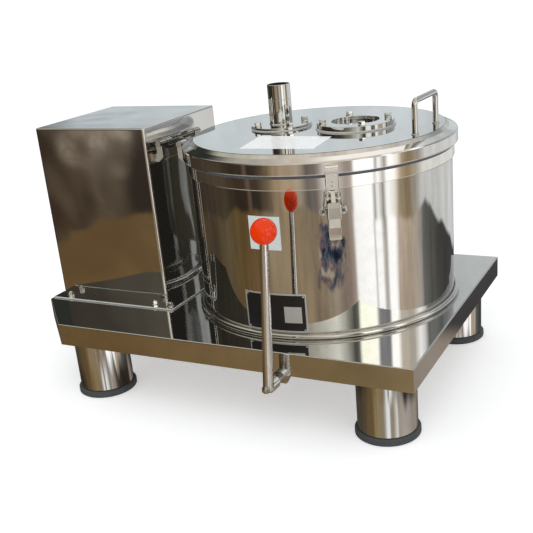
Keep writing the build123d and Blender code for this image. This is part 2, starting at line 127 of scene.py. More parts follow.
@dataclass
class NodeBench:
    """A material, group or world node tree with short calls for adding and joining nodes."""

    tree: bpy.types.NodeTree

    def add(self, kind: str, **settings: Any) -> bpy.types.Node:
        """Add a node.

        Args:
            kind: The node's type name without its ShaderNode prefix.
            **settings: Node properties to set.

        Returns:
            The new node.
        """
        node = self.tree.nodes.new(kind if kind.startswith("Node") else "ShaderNode" + kind)
        for key, value in settings.items():
            setattr(node, key, value)
        return node

    def join(self, source: Any, target: Any) -> None:
        """Link an output socket to an input socket."""
        self.tree.links.new(source, target)

    def feed(self, target: Any, value: Any) -> None:
        """Give an input either a link or a plain value.

        Args:
            target: The input socket.
            value: An output socket, or the value to set.
        """
        if isinstance(value, bpy.types.NodeSocket):
            self.join(value, target)
        else:
            target.default_value = value

    def set(self, node: bpy.types.Node, values: dict[str, Any]) -> None:
        """Give several inputs of a node, by name, a link or a plain value each."""
        for label, value in values.items():
            self.feed(node.inputs[label], value)

    def math(self, operation: str, a: Any, b: Any = 0.0) -> Any:
        """Add a Math node and return its output."""
        node = self.add("Math", operation=operation)
        self.feed(node.inputs[0], a)
        self.feed(node.inputs[1], b)
        return node.outputs[0]

    def blend(self, factor: Any, a: Any, b: Any) -> Any:
        """Add a colour Mix node and return its colour."""
        node = self.add("Mix", data_type="RGBA")
        self.feed(node.inputs["Factor"], factor)
        self.feed(node.inputs[6], a if isinstance(a, bpy.types.NodeSocket) else (*a, 1.0))
        self.feed(node.inputs[7], b if isinstance(b, bpy.types.NodeSocket) else (*b, 1.0))
        return node.outputs[2]

    def length(self, a: Any, b: Any) -> Any:
        """Return the distance that two numbers at a right angle make."""
        square = self.math("ADD", self.math("MULTIPLY", a, a), self.math("MULTIPLY", b, b))
        return self.math("SQRT", square)

    def span(self, value: Any, low: float, high: float, to_low: float = 0.0, to_high: float = 1.0) -> Any:
        """Map a value smoothly from one range to another and return the output."""
        node = self.add("MapRange", interpolation_type="SMOOTHSTEP")
        self.set(node, {"Value": value, "From Min": low, "From Max": high})
        self.set(node, {"To Min": to_low, "To Max": to_high})
        return node.outputs["Result"]

    def ramp(self, factor: Any, stops: Sequence[tuple[float, Colour]]) -> Any:
        """Add a colour ramp.

        Args:
            factor: What it reads, from 0 to 1.
            stops: Positions with linear colours, in order.

        Returns:
            The ramp's colour output.
        """
        node = self.add("ValToRGB")
        elements = node.color_ramp.elements
        elements[0].position, elements[0].color = stops[0][0], (*stops[0][1], 1.0)
        elements[1].position, elements[1].color = stops[-1][0], (*stops[-1][1], 1.0)
        for position, colour in stops[1:-1]:
            element = elements.new(position)
            element.color = (*colour, 1.0)
        self.feed(node.inputs[0], factor)
        return node.outputs[0]

    def noise(self, vector: Any, scale: Any, detail: float = 2.0, roughness: float = 0.5) -> Any:
        """Add a noise texture and return its value."""
        node = self.add("TexNoise")
        self.set(node, {"Vector": vector, "Scale": scale, "Detail": detail, "Roughness": roughness})
        return node.outputs[0]

    def sway(self, vector: Any, scale: float, detail: float, reach: float) -> Any:
        """Return noise that swings about zero."""
        return self.math("MULTIPLY", self.math("SUBTRACT", self.noise(vector, scale, detail), 0.5), reach)

    def scaled(self, vector: Any, scale: Any) -> Any:
        """Return a vector times a number."""
        node = self.add("VectorMath", operation="SCALE")
        self.feed(node.inputs[0], vector)
        self.feed(node.inputs["Scale"], scale)
        return node.outputs[0]

    def parts(self, vector: Any) -> Any:
        """Return the three numbers of a vector."""
        node = self.add("SeparateXYZ")
        self.join(vector, node.inputs[0])
        return node.outputs

    def seen(self) -> Any:
        """Return 1 for rays that end in the picture, straight, through glass or mirrored, and else 0."""
        path = self.add("LightPath")
        direct = self.math("MAXIMUM", path.outputs["Is Camera Ray"], path.outputs["Is Transmission Ray"])
        return self.math("MAXIMUM", direct, path.outputs["Is Glossy Ray"])

    def bump(self, shader: bpy.types.Node, height: Any, strength: float, distance: float) -> None:
        """Raise a shader's surface by a height, where a height of 1 stands for a distance in metres."""
        node = self.add("Bump")
        self.set(node, {"Strength": strength, "Distance": distance, "Height": height})
        self.join(node.outputs[0], shader.inputs["Normal"])


def new_surface(name: str) -> tuple[bpy.types.Material, NodeBench, bpy.types.Node]:
    """Make a material with its plain surface shader.

    Args:
        name: The material's name.

    Returns:
        The material, its node bench and its shader.
    """
    material = bpy.data.materials.new(name)
    material.use_nodes = True
    return material, NodeBench(material.node_tree), material.node_tree.nodes[SHADER]


def new_object(bm: bmesh.types.BMesh, name: str, material: bpy.types.Material) -> bpy.types.Object:
    """Make an object of a mesh and put it in the scene.

    Args:
        bm: The mesh in metres, which is freed.
        name: The object's name.
        material: Its material.

    Returns:
        The new object.
    """
    mesh = bpy.data.meshes.new(name)
    bm.to_mesh(mesh)
    bm.free()
    mesh.materials.append(material)
    obj = bpy.data.objects.new(name, mesh)
    bpy.context.scene.collection.objects.link(obj)
    return obj


class GroupShelf:
    """The shader node groups that several finishes share, each made once."""

    def __init__(self) -> None:
        """Make the groups."""
        self.marks = self._handling_marks()
        self.waves = self._sheet_waves()
        self.grain = self._brush_grain()

    @staticmethod
    def _open(name: str, inputs: dict[str, float], output: str) -> tuple[Any, NodeBench, Any, Any]:
        """Start a group with a vector input, number inputs with their values, and a number output."""
        tree = bpy.data.node_groups.new(name, "ShaderNodeTree")
        tree.interface.new_socket("Vector", in_out="INPUT", socket_type="NodeSocketVector")
        for label, value in inputs.items():
            socket = tree.interface.new_socket(label, in_out="INPUT", socket_type="NodeSocketFloat")
            socket.default_value = value
        tree.interface.new_socket(output, in_out="OUTPUT", socket_type="NodeSocketFloat")
        bench = NodeBench(tree)
        return tree, bench, bench.add("NodeGroupInput"), bench.add("NodeGroupOutput")

    def _handling_marks(self) -> bpy.types.NodeTree:
        """Soft smears and fine dust left by hands and cloths, from 0 to 1."""
        tree, bench, start, end = self._open("Handling marks", {"Scale": 1.0}, "Marks")
        place = bench.scaled(start.outputs["Vector"], start.outputs["Scale"])
        broad = bench.span(bench.noise(place, 5.0, 4.0, 0.6), 0.4, 0.7)
        fine = bench.span(bench.noise(place, 60.0, 3.0, 0.6), 0.3, 0.75)
        bench.join(bench.math("MULTIPLY", broad, fine), end.inputs["Marks"])
        return tree

    def _sheet_waves(self) -> bpy.types.NodeTree:
        """The slight unevenness of rolled and folded sheet, as a height in metres."""
        tree, bench, start, end = self._open("Sheet waves", {"Scale": 4.0, "Depth": 0.0004}, "Height")
        wave = bench.noise(start.outputs["Vector"], start.outputs["Scale"], 1.0)
        bench.join(bench.math("MULTIPLY", wave, start.outputs["Depth"]), end.inputs["Height"])
        return tree

    def _brush_grain(self) -> bpy.types.NodeTree:
        """Fine lines left by an abrasive belt, from 0 to 1, along the vector's X."""
        tree, bench, start, end = self._open("Brush grain", {"Scale": 1.0}, "Grain")
        stretch = bench.add("Mapping")
        bench.set(stretch, {"Vector": start.outputs["Vector"], "Scale": (6.0, 260.0, 260.0)})
        lines = bench.noise(bench.scaled(stretch.outputs[0], start.outputs["Scale"]), 1.0, 4.0, 0.65)
        bench.join(lines, end.inputs["Grain"])
        return tree


@dataclass(frozen=True)
class Finish:
    """A finish whose gloss varies with handling marks and whose surface waves slightly."""

    name: str
    colour: Colour
    second: Colour
    metallic: float = 0.0
    gloss_low: float = 0.3
    gloss_high: float = 0.45
    wave_scale: float = 4.0
    wave_depth: float = 0.0
    mark_scale: float = 1.0
    specular: float = 0.5

    def make(self, groups: GroupShelf) -> bpy.types.Material:
        """Build the material.

        Args:
            groups: The shared node groups.

        Returns:
            The new material.
        """
        material, bench, shader = new_surface(self.name)
        place = bench.add("TexCoord").outputs["Object"]
        marks = bench.add("Group", node_tree=groups.marks)
        bench.set(marks, {"Vector": place, "Scale": self.mark_scale})
        gloss = bench.add("MapRange")
        bench.set(gloss, {"Value": marks.outputs[0], "To Min": self.gloss_low, "To Max": self.gloss_high})
        bench.set(shader, {
            "Base Color": bench.blend(marks.outputs[0], self.colour, self.second),
            "Roughness": gloss.outputs[0], "Metallic": self.metallic, "Specular IOR Level": self.specular})
        if self.metallic > METAL:
            # painted glow: bare metal glows faintly once a ray has bounced more than once, so deep gaps
            # read dark olive-grey, not black
            deep = bench.math("GREATER_THAN", bench.add("LightPath").outputs["Glossy Depth"], SECOND_BOUNCE)
            bench.set(shader, {"Emission Color": (*PAINTED_BOUNCE_COLOUR, 1.0),
                               "Emission Strength": bench.math("MULTIPLY", deep, PAINTED_BOUNCE_GLOW)})
        self.shape(bench, groups, shader, place)
        return material

    def shape(self, bench: NodeBench, groups: GroupShelf, shader: Any, place: Any) -> None:
        """Add the slight unevenness of the surface."""
        if self.wave_depth > 0.0:
            waves = bench.add("Group", node_tree=groups.waves)
            bench.set(waves, {"Vector": place, "Scale": self.wave_scale, "Depth": self.wave_depth})
            bench.bump(shader, waves.outputs[0], 1.0, 1.0)


@dataclass(frozen=True)
class SatinFinish(Finish):
    """Metal with fine belt lines."""

    line_depth: float = 0.00002

    def shape(self, bench: NodeBench, groups: GroupShelf, shader: Any, place: Any) -> None:
        """Add the belt lines as a small height."""
        grain = bench.add("Group", node_tree=groups.grain)
        bench.join(place, grain.inputs["Vector"])
        bench.bump(shader, grain.outputs[0], 0.6, self.line_depth)


@dataclass(frozen=True)
class CastFinish(Finish):
    """A rough or moulded surface with a fine pitted height."""

    pit_scale: float = 300.0
    pit_depth: float = 0.0003

    def shape(self, bench: NodeBench, groups: GroupShelf, shader: Any, place: Any) -> None:
        """Add the pits."""
        bench.bump(shader, bench.noise(place, self.pit_scale, 3.0, 0.6), 0.5, self.pit_depth)


@dataclass(frozen=True)
class ClearFinish(Finish):
    """Glass or a thin film that shows what lies under it, and may have a faint painted glow in its own
    colour.
    """

    transmission: float = 0.0
    alpha: float = 1.0
    # painted glow: how strongly the shader emits in its own colour
    glow: float = 0.0
    bending: float = 1.5

    def make(self, groups: GroupShelf) -> bpy.types.Material:
        """Build the material with its clearness and its painted glow set on the shader."""
        material = super().make(groups)
        bench = NodeBench(material.node_tree)
        bench.set(material.node_tree.nodes[SHADER], {
            "Transmission Weight": self.transmission, "Alpha": self.alpha, "IOR": self.bending,
            "Emission Color": (*self.colour, 1.0), "Emission Strength": self.glow})
        return material


@dataclass(frozen=True)
class PerforatedFinish(SatinFinish):
    """Satin metal with rows of small round holes round an upright drum; the hole pattern is the drum's own,
    its near-black is painted shade.
    """

    centre: Pair = DRUM
    columns: int = 118
    row_height: float = 12.0
    hole: float = 0.21
    soft: float = 0.02

    def make(self, groups: GroupShelf) -> bpy.types.Material:
        """Build the satin metal and paint each hole near-black, as painted shade for the dark seen through
        it.
        """
        material = super().make(groups)
        bench = NodeBench(material.node_tree)
        shader = material.node_tree.nodes[SHADER]
        x, y, z = bench.parts(bench.add("TexCoord").outputs["Object"])
        x = bench.math("SUBTRACT", x, self.centre[0] * MM)
        y = bench.math("SUBTRACT", y, self.centre[1] * MM)
        turn = bench.math("MULTIPLY", bench.math("ARCTAN2", y, x), self.columns / (2 * math.pi))
        rise = bench.math("DIVIDE", z, self.row_height * MM)
        shift = bench.math("MULTIPLY", bench.math("FLOOR", rise), 0.5)
        across = bench.math("SUBTRACT", bench.math("FRACT", bench.math("ADD", turn, shift)), 0.5)
        along = bench.math("SUBTRACT", bench.math("FRACT", rise), 0.5)
        open_hole = bench.span(bench.length(across, along), self.hole + self.soft, self.hole - self.soft)
        metal = shader.inputs["Base Color"].links[0].from_socket
        bench.join(bench.blend(open_hole, metal, HOLE_SHADE_COLOUR), shader.inputs["Base Color"])
        return material


BOX_SHEET = Finish("Box sheet", (0.66, 0.655, 0.64), (0.60, 0.595, 0.58), 1.0, 0.05, 0.11, 6.5, 0.0026)
BRIGHT_TRIM = Finish("Bright trim", (0.78, 0.78, 0.77), (0.70, 0.70, 0.69), 1.0, 0.08, 0.16)
BRUSHED_BAR = SatinFinish("Brushed bar", (0.80, 0.795, 0.79), (0.72, 0.715, 0.71), 1.0, 0.16, 0.24)
# painted shade: a dark grey for the shade along the lid disc's edge and inside the latch eyes
PAINTED_SHADE_GREY = Finish("Seam shade", (0.16, 0.155, 0.145), (0.12, 0.115, 0.11), 0.6, 0.3, 0.45)
SEALANT = Finish("Pale sealant", (0.72, 0.73, 0.72), (0.62, 0.63, 0.62), 0.0, 0.35, 0.5)
BAND_STEEL = Finish("Band steel", (0.86, 0.84, 0.80), (0.78, 0.76, 0.72), 1.0, 0.09, 0.15, 5.0, 0.0009)
RIM_STEEL = Finish("Rim steel", (0.74, 0.73, 0.71), (0.68, 0.67, 0.65), 1.0, 0.03, 0.09, 6.0, 0.0009)
# painted light: the strap's steel is made near-white and the lever's dark beige-grey, lit and shaded copies
# of one steel
STRAP_STEEL_PAINTED_BRIGHT = Finish("Latch strap steel", (0.98, 0.97, 0.95), (0.90, 0.89, 0.87), 1.0, 0.24, 0.32)
LEVER_STEEL_PAINTED_DARK = Finish("Latch lever steel", (0.56, 0.54, 0.49), (0.50, 0.48, 0.44), 1.0, 0.10, 0.18)
OWN_FINISH: dict[str, Finish] = {
    "motor_cover": BOX_SHEET, "brake_lever": BRUSHED_BAR, "casing_band": BAND_STEEL, "lid_rim": RIM_STEEL,
    "latch_lever_front": LEVER_STEEL_PAINTED_DARK, "latch_lever_back": LEVER_STEEL_PAINTED_DARK, "latch_strap_front": STRAP_STEEL_PAINTED_BRIGHT,
    "latch_strap_back": STRAP_STEEL_PAINTED_BRIGHT, "latch_base_front": BRIGHT_TRIM, "latch_base_back": BRIGHT_TRIM,
}

FINISHES: dict[Slot, Finish] = {
    Slot.POLISHED: Finish(
        "Mirror stainless", (0.66, 0.655, 0.64), (0.60, 0.595, 0.58), 1.0, 0.015, 0.07, 5.0, 0.0005),
    Slot.SATIN: SatinFinish("Satin stainless", (0.62, 0.62, 0.61), (0.52, 0.52, 0.51), 1.0, 0.26, 0.4),
    Slot.PAD: CastFinish("Pad rubber", (0.075, 0.08, 0.085), (0.12, 0.12, 0.12), 0.0, 0.7, 0.85),
    Slot.GASKET: Finish("Blue-grey seal", (0.105, 0.12, 0.145), (0.15, 0.17, 0.20), 0.0, 0.35, 0.5),
    Slot.BELT: CastFinish("Belt rubber", (0.02, 0.02, 0.02), (0.05, 0.05, 0.05), 0.0, 0.6, 0.8),
    Slot.BALL: Finish(
        "Orange-red ball", (1.0, 0.05, 0.002), (0.92, 0.045, 0.002), 0.0, 0.03, 0.07, 12.0, 0.0003,
        specular=0.4),
    Slot.BLACK: CastFinish("Matt black plastic", (0.02, 0.02, 0.02), (0.04, 0.04, 0.04), 0.0, 0.45, 0.6),
    Slot.GLASS: ClearFinish(
        "Sight glass", (0.86, 0.92, 0.91), (0.8, 0.86, 0.85), 0.0, 0.0, 0.04, transmission=1.0),
    Slot.IRON: CastFinish("Cast iron", (0.16, 0.16, 0.165), (0.24, 0.22, 0.2), 0.8, 0.4, 0.65),
    Slot.MOTOR: CastFinish(
        "Motor paint", (0.035, 0.075, 0.13), (0.05, 0.09, 0.14), 0.0, 0.35, 0.5, pit_depth=0.0001),
}


@dataclass
class Workbench:
    """Holds the frame and the finished materials, and turns a bmesh into a piece of the object."""

    frame: dict[str, Any]
    groups: GroupShelf = field(default_factory=GroupShelf)
    made: dict[str, bpy.types.Material] = field(default_factory=dict)

    def finish(self, finish: Finish) -> bpy.types.Material:
        """Return a finish's material, made the first time it is asked for."""
        if finish.name not in self.made:
            self.made[finish.name] = finish.make(self.groups)
        return self.made[finish.name]

    def dress_nodes(self) -> None:
        """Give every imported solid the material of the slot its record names."""
        slots = {row["node"]: row["material_slot"] for row in self.frame["record"]["subparts"]}
        for name, obj in self.frame["nodes"].items():
            finish = OWN_FINISH.get(name, FINISHES[Slot(slots[name])])
            if name == "basket_wall":
                finish = PerforatedFinish("Perforated basket", finish.colour, finish.second, 1.0, 0.3, 0.45)
            material = self.finish(finish)
            if not obj.material_slots:
                obj.data.materials.append(material)
            for place in obj.material_slots:
                place.material = material
        LOG.info("dressed %d solids", len(slots))

    def piece(self, bm: bmesh.types.BMesh, name: str, body: str, finish: Finish | None = None,
              slot: Slot = Slot.POLISHED) -> bpy.types.Object:
        """Make an object of a finished bmesh given in millimetres and set it on its body.

        Args:
            bm: The mesh, which is freed.
            name: The piece's name.
            body: The body it rides on.
            finish: A finish of its own, where the slot's is not used.
            slot: The record's slot it takes its finish from.

        Returns:
            The new object.
        """
        bmesh.ops.scale(bm, vec=(MM, MM, MM), verts=bm.verts)
        bmesh.ops.recalc_face_normals(bm, faces=bm.faces)
        for face in bm.faces:
            face.smooth = True
        limit = math.radians(CRISP_EDGE)
        for edge in bm.edges:
            edge.smooth = len(edge.link_faces) == 2 and edge.calc_face_angle(0.0) < limit
        obj = new_object(bm, name, self.finish(finish or FINISHES[slot]))
        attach(obj, body)
        LOG.info("piece %s: %d faces on %s", name, len(obj.data.polygons), body)
        return obj


def seat(at: Point, out: Point, turn: float = 0.0) -> Matrix:
    """Return the matrix that stands a shape made along +Z on a point, pointing out.

    Args:
        at: Where it stands.
        out: The direction it points in.
        turn: Its turn about that direction, in degrees.

    Returns:
        A 4 by 4 matrix.
    """
    lean = Vector((0, 0, 1)).rotation_difference(Vector(out)).to_matrix().to_4x4()
    return Matrix.Translation(at) @ lean @ Matrix.Rotation(math.radians(turn), 4, "Z")


def on_drum(angle: float, radius: float, along: float, z: float) -> Point:
    """Return the point beside the drum at an angle, a radius, a shift along the wall and a height."""
    a = math.radians(angle)
    x, y = DRUM
    return x + radius * math.cos(a) - along * math.sin(a), y + radius * math.sin(a) + along * math.cos(a), z


def add_disc(bm: bmesh.types.BMesh, radius: float, height: float, place: Matrix, segments: int = 28,
             top: float | None = None, bevel: float = 0.0) -> None:
    """Add a short round or many-sided bar that starts at the matrix's origin.

    Args:
        bm: The mesh to add to.
        radius: Radius at its foot.
        height: Its height.
        place: Where it stands.
        segments: Number of sides.
        top: Radius at its top, where it tapers.
        bevel: Width of the bevel round its top edge.
    """
    lift = place @ Matrix.Translation((0, 0, height / 2))
    made = bmesh.ops.create_cone(bm, cap_ends=True, segments=segments, radius1=radius,
                                 radius2=radius if top is None else top, depth=height, matrix=lift)
    if bevel > 0.0:
        peak = place @ Vector((0, 0, height))
        out = (place.to_3x3() @ Vector(UP)).normalized()
        verts = [v for v in made["verts"] if abs((v.co - peak).dot(out)) < 1e-4]
        edges = dict.fromkeys(e for v in verts for e in v.link_edges if all(w in verts for w in e.verts))
        bmesh.ops.bevel(bm, geom=list(edges), offset=bevel, affect="EDGES", segments=2, profile=0.5,
                        material=-1)


def add_ring(bm: bmesh.types.BMesh, radius: float, thick: float, place: Matrix, steps: int,
             sides: int = 10) -> None:
    """Add a ring of round wire about the matrix's Z axis.

    Args:
        bm: The mesh to add to.
        radius: Radius of the ring's centre line.
        thick: Radius of the wire.
        place: Where the ring's centre is.
        steps: Steps round the ring.
        sides: Sides of the wire.
    """
    start = place @ Matrix.Translation((radius, 0, 0)) @ Matrix.Rotation(math.pi / 2, 4, "X")
    verts = bmesh.ops.create_circle(bm, cap_ends=False, segments=sides, radius=thick, matrix=start)["verts"]
    edges = dict.fromkeys(e for v in verts for e in v.link_edges)
    axis = place.to_3x3() @ Vector(UP)
    bmesh.ops.spin(bm, geom=[*verts, *edges], cent=place.translation, axis=axis, angle=2 * math.pi,
                   steps=steps, use_merge=True, use_duplicate=False)


def add_bolt(bm: bmesh.types.BMesh, place: Matrix, across: float = 13.0, head: float = 6.5,
             washer: float = 8.5, plate: float = 1.6, stud: float = 2.5) -> None:
    """Add a washer, a six-sided nut and the end of its stud.

    Args:
        bm: The mesh to add to.
        place: Where the washer's underside is.
        across: Width of the nut across its flats.
        head: Height of the nut.
        washer: Radius of the washer.
        plate: Thickness of the washer.
        stud: How far the stud stands out of the nut, or 0 for none.
    """
    add_disc(bm, washer, plate, place, 28, bevel=0.3)
    nut = place @ Matrix.Translation((0, 0, plate))
    add_disc(bm, across / math.sqrt(3.0), head, nut, 6, bevel=0.8)
    if stud > 0.0:
        add_disc(bm, across * 0.3, head + stud, nut, 20, bevel=0.8)


@dataclass
class Fasteners:
    """The nuts that hold the motor's box, on studs, and the feed flange and the sight ring, on bolts.

    Each circle of nuts has its name, its middle, its radius and the azimuth of its first nut.
    """

    flange_top: float = 186.9
    box_points: tuple[Pair, ...] = (
        (-443, -171), (-196, -171), (-151, -173), (-443, 173), (-196, 173), (-151, 175))
    box_turn: float = 17.0
    circles: tuple[tuple[str, Point, float, float], ...] = (
        ("feed_flange_nuts", (66.0, 40.0, 567.4), 55.5, -135.0),
        ("sight_ring_nuts", (241.0, 47.5, 572.9), 72.0, -148.0))
    circle_nuts: int = 4
    circle_turn: float = 23.0

    def build(self, bench: Workbench) -> None:
        """Make the three sets."""
        bm = bmesh.new()
        for index, (x, y) in enumerate(self.box_points):
            add_bolt(bm, seat((x, y, self.flange_top), UP, self.box_turn * index))
        bench.piece(bm, "box_flange_nuts", Body.BASE.value, BRIGHT_TRIM)
        for name, (x, y, z), radius, start in self.circles:
            bm = bmesh.new()
            for index in range(self.circle_nuts):
                a = math.radians(start + 360.0 / self.circle_nuts * index)
                at = (x + radius * math.cos(a), y + radius * math.sin(a), z)
                add_bolt(bm, seat(at, UP, self.circle_turn * index), 13.5, 6.8, 8.2, 1.2, 0.0)
            bench.piece(bm, name, Body.LID.value, BRIGHT_TRIM)


@dataclass
class Seals:
    """The sealant along the box's flange, the pale seals under the lid's round fittings, and thin edges, of
    which the one round the lid's disc is a painted shade line.

    A fitting has the place of its middle, its radius and its seal's height. An edge has its name, its
    body, its radius about the drum, its height, the radius of its tube and its finish.
    """

    flange: tuple[float, float, float, float] = (-479.0, -134.5, -190.8, 193.2)
    top: float = 186.0
    bead: float = 1.7
    cut: Pair = (-29.8, 81.6)
    fittings: tuple[tuple[float, float, float, float], ...] = (
        (241.0, 47.5, 86.0, 3.0), (66.0, 40.0, 68.0, 2.2))
    edges: tuple[tuple[str, Body, float, float, float, Finish], ...] = (
        ("lid_rolled_edge", Body.LID, 299.3, 524.2, 1.15, BRIGHT_TRIM),
        ("casing_band_edge", Body.BASE, 291.5, 493.6, 0.9, BRIGHT_TRIM),
        # painted shade: a thin dark ring where the lid's raised disc meets its slope
        ("lid_disc_edge_shade", Body.LID, 274.2, 560.1, 0.55, PAINTED_SHADE_GREY))

    def build(self, bench: Workbench) -> None:
        """Make the beads, the two seals and the edges."""
        x0, x1, y0, y1 = self.flange
        low, high = self.cut
        runs = (((x0, y0), (x1, y0)), ((x1, y0), (x1, low)), ((x1, high), (x1, y1)), ((x1, y1), (x0, y1)))
        bm = bmesh.new()
        for (ax, ay), (bx, by) in runs:
            length = math.hypot(bx - ax, by - ay)
            place = seat((ax, ay, self.top), ((bx - ax) / length, (by - ay) / length, 0.0))
            add_disc(bm, self.bead, length, place, 12)
        bench.piece(bm, "flange_sealant", Body.BASE.value, SEALANT)
        bm = bmesh.new()
        for x, y, radius, height in self.fittings:
            foot, middle, peak = LID_TOP + 0.05, LID_TOP + height / 2, LID_TOP + height
            inner, outer = radius - 1.5, radius + 0.6
            outline = ((inner, foot), (outer, foot), (radius + 0.9, middle), (outer, peak), (inner, peak))
            face = bm.faces.new([bm.verts.new((x + r, y, z)) for r, z in outline])
            bmesh.ops.spin(bm, geom=[face, *face.edges, *face.verts], cent=(x, y, 0), axis=UP,
                           angle=2 * math.pi, steps=96, use_merge=True, use_duplicate=False)
            ends = [f for f in bm.faces if len(f.verts) == len(outline)]
            bmesh.ops.delete(bm, geom=ends, context="FACES_ONLY")
        bench.piece(bm, "lid_fitting_seals", Body.LID.value, SEALANT)
        for name, body, radius, z, tube, finish in self.edges:
            bm = bmesh.new()
            add_ring(bm, radius, tube, Matrix.Translation((*DRUM, z)), 160)
            bench.piece(bm, name, body.value, finish)


@dataclass
class WallPlate:
    """A thin plate bent round the drum's wall."""

    angle: float
    width: float
    low: float
    high: float
    radius: float
    thick: float
    steps: int = 24

    def add(self, bm: bmesh.types.BMesh) -> None:
        """Add the plate by turning its upright edge round the drum.

        Args:
            bm: The mesh to add to.
        """
        half = math.degrees(self.width / 2 / self.radius)
        corners = ((self.radius, self.low), (self.radius + self.thick, self.low),
                   (self.radius + self.thick, self.high), (self.radius, self.high))
        verts = [bm.verts.new(on_drum(self.angle - half, r, 0.0, z)) for r, z in corners]
        face = bm.faces.new(verts)
        bmesh.ops.spin(bm, geom=[face, *face.edges, *face.verts], cent=(*DRUM, 0), axis=UP,
                       angle=math.radians(2 * half), steps=self.steps, use_merge=False, use_duplicate=False)


@dataclass
class DrumPlates:
    """The bare label behind the lever's ball and the bare data plate low on the drum."""

    wall: float = 288.05
    label_angle: float = -90.0
    label_size: float = 69.0
    label_low: float = 372.4
    plate_angle: float = -88.4
    plate_width: float = 137.0
    plate_low: float = 197.4
    plate_high: float = 280.4
    border: float = 3.2
    panel_low: float = 20.5
    rivet_in: Pair = (6.0, 5.5)

    def build(self, bench: Workbench) -> None:
        """Make the label and the plate with its border, dark field, pale panel and rivets."""
        paper = Finish("Pale label", (0.80, 0.86, 0.82), (0.70, 0.80, 0.76), 0.0, 0.35, 0.5)
        dark = Finish("Dark plate field", (0.008, 0.008, 0.01), (0.02, 0.02, 0.02), 0.0, 0.4, 0.55)
        pale = Finish("Plate metal", (0.72, 0.73, 0.74), (0.6, 0.61, 0.62), 0.6, 0.3, 0.42)
        angle, width, edge = self.plate_angle, self.plate_width, self.border
        low, high = self.plate_low, self.plate_high
        label_top = self.label_low + self.label_size
        sheets = (
            ("drum_label", paper,
             WallPlate(self.label_angle, self.label_size, self.label_low, label_top, self.wall, 0.35)),
            ("data_plate", pale, WallPlate(angle, width, low, high, self.wall, 0.8)),
            ("data_plate_field", dark,
             WallPlate(angle, width - 2 * edge, low + edge, high - edge, self.wall + 0.7, 0.25)))
        for name, finish, sheet in sheets:
            bm = bmesh.new()
            sheet.add(bm)
            bench.piece(bm, name, Body.BASE.value, finish)
        bm = bmesh.new()
        shift = math.degrees(0.285 * width / self.wall)
        top = high - 0.33 * (high - low)
        WallPlate(angle + shift, 0.27 * width, low + self.panel_low, top, self.wall + 0.9, 0.2).add(bm)
        aside, up = self.rivet_in
        for along in (-1, 1):
            turn = angle + along * math.degrees((width / 2 - aside) / self.wall)
            out = (math.cos(math.radians(turn)), math.sin(math.radians(turn)), 0)
            for z in (low + up, high - up):
                add_disc(bm, 2.0, 0.9, seat(on_drum(turn, self.wall + 0.8, 0.0, z), out), 16, bevel=0.4)
        bench.piece(bm, "data_plate_panel", Body.BASE.value, pale)


@dataclass
class LidFilm:
    """A thin clear-white film that lies on the lid in front of the feed flange."""

    corners: tuple[Pair, ...] = ((87, -198), (247, -191), (235, -72), (68, -69))
    z: float = 560.42
    thick: float = 0.25

    def build(self, bench: Workbench) -> None:
        """Make the film from its four corners."""
        # painted glow: the film emits faintly in its own colour so it reads lighter than the lid
        film = ClearFinish(
            "Milky film", (0.95, 0.96, 0.96), (0.97, 0.98, 0.98), 0.0, 0.3, 0.4, alpha=0.42, glow=0.28)
        bm = bmesh.new()
        face = bm.faces.new([bm.verts.new((x, y, self.z)) for x, y in self.corners])
        made = bmesh.ops.extrude_face_region(bm, geom=[face])
        top = [v for v in made["geom"] if isinstance(v, bmesh.types.BMVert)]
        bmesh.ops.translate(bm, vec=(0, 0, self.thick), verts=top)
        bench.piece(bm, "lid_film", Body.LID.value, film, Slot.GLASS)


